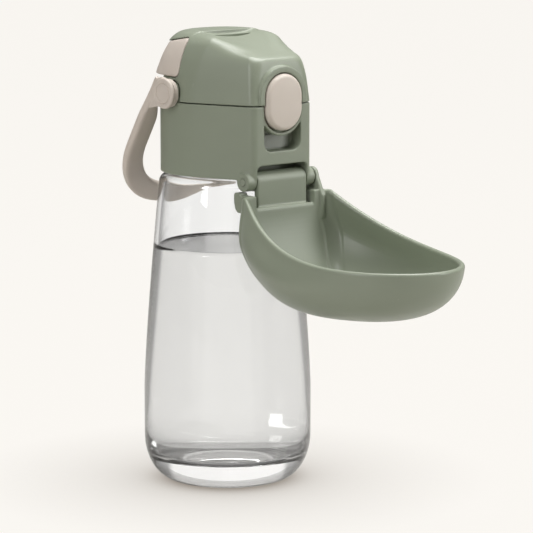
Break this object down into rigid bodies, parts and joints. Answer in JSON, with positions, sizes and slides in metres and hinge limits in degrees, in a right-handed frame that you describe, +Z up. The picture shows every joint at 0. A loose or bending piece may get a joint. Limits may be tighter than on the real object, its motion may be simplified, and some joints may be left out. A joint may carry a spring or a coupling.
{
  "type": "dog travel water bottle",
  "caption": "Clear travel water bottle for pets with a screw-on cap, flip-up lid, push button, swinging carry handle and a fold-out drinking bowl.",
  "frame": {"origin": "on the standing plane, under the bottle's axis", "axes": "+X towards the bowl and button, +Z up along the bottle, +Y to complete the right-handed frame"},
  "size_m": [0.2038, 0.077, 0.2116],
  "materials": {
    "clear_plastic": "clear polished copolyester",
    "sage_plastic": "satin moulded",
    "taupe_plastic": "satin moulded",
    "milky_plastic": "satin moulded",
    "grey_silicone": "soft matte",
    "steel": "brushed"
  },
  "bodies": {
    "bottle": {"bottle_body": "clear_plastic"},
    "seal_ring": {"neck_seal": "grey_silicone"},
    "cap": {"collar": "sage_plastic", "cap_core": "milky_plastic", "drinking_spout": "milky_plastic", "spout_seal": "grey_silicone", "vent_valve": "grey_silicone", "latch_leaf": "steel", "button_spring": "steel", "handle_pins": "taupe_plastic", "lid_hinge_pin": "steel", "bowl_hinge_pin": "sage_plastic"},
    "button": {"button_cap": "taupe_plastic", "button_latch": "taupe_plastic"},
    "handle": {"carry_handle": "taupe_plastic"},
    "lid": {"lid_shell": "sage_plastic", "lid_liner": "milky_plastic", "spout_plug": "grey_silicone", "lid_screws": "steel", "rear_grip_pad": "taupe_plastic"},
    "bowl": {"bowl_shell": "sage_plastic"}
  },
  "joints": [
    {"name": "cap_lift", "type": "slide", "parent": "bottle", "child": "seal_ring", "axis": [0, 0, 1], "range_m": [0, 0.018]},
    {"name": "cap_turn", "type": "hinge", "parent": "seal_ring", "child": "cap", "pos_m": [0, 0, 0.16], "axis": [0, 0, 1], "range_deg": [0, 1080]},
    {"name": "button_push", "type": "slide", "parent": "cap", "child": "button", "axis": [-1, 0, 0], "range_m": [0, 0.0025], "stiffness_N_per_m": 1500, "deforming": ["button_spring"]},
    {"name": "handle_swing", "type": "hinge", "parent": "cap", "child": "handle", "pos_m": [-0.0027, 0, 0.184], "axis": [0, 1, 0], "range_deg": [0, 141]},
    {"name": "lid_flip", "type": "hinge", "parent": "cap", "child": "lid", "pos_m": [-0.0343, 0, 0.18], "axis": [0, -1, 0], "range_deg": [0, 105]},
    {"name": "bowl_fold", "type": "hinge", "parent": "cap", "child": "bowl", "pos_m": [0.03569, 0, 0.14551], "axis": [0, -1, 0], "range_deg": [0, 105]}
  ],
  "couplings": [
    {"joint": "cap_lift", "follows": "cap_turn", "m_per_rad": 0.00095493}
  ]
}
